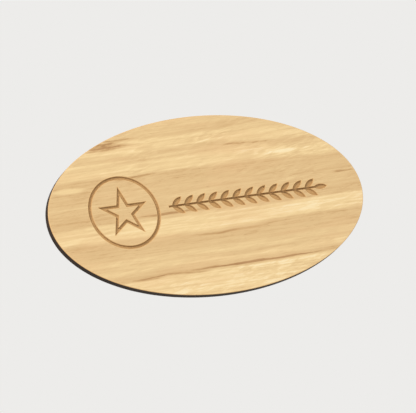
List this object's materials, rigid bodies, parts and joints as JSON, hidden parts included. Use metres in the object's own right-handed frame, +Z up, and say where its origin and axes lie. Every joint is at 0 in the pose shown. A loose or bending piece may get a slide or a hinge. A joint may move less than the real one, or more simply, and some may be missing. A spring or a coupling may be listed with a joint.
{
  "type": "wooden name plaque",
  "caption": "Small oval wooden plaque with a laser-engraved ringed star and laurel sprig, worn on cloth by a magnet bar that clips to a steel plate on its back.",
  "frame": {"origin": "middle of the plane where the magnets meet the steel plate, which is where cloth is clamped", "axes": "+X along the oval to the viewer's right, +Z up, +Y out of the back, so the engraved face looks along -Y"},
  "size_m": [0.0698, 0.0063, 0.038],
  "materials": {
    "face_wood": "satin",
    "core_wood": "matte",
    "rear_wood": "matte",
    "foam": "matte",
    "plated_steel": "satin",
    "black_plastic": "satin",
    "nickel": "polished"
  },
  "bodies": {
    "plaque": {"face_ply": "face_wood", "core_ply": "core_wood", "rear_ply": "rear_wood", "foam_tape": "foam", "steel_plate": "plated_steel"},
    "fastener": {"magnet_bar": "black_plastic", "magnet_left": "nickel", "magnet_middle": "nickel", "magnet_right": "nickel"}
  },
  "joints": [
    {"name": "magnet_bar_pull", "type": "slide", "parent": "plaque", "child": "fastener", "axis": [0, 1, 0], "range_m": [0, 0.02]}
  ]
}
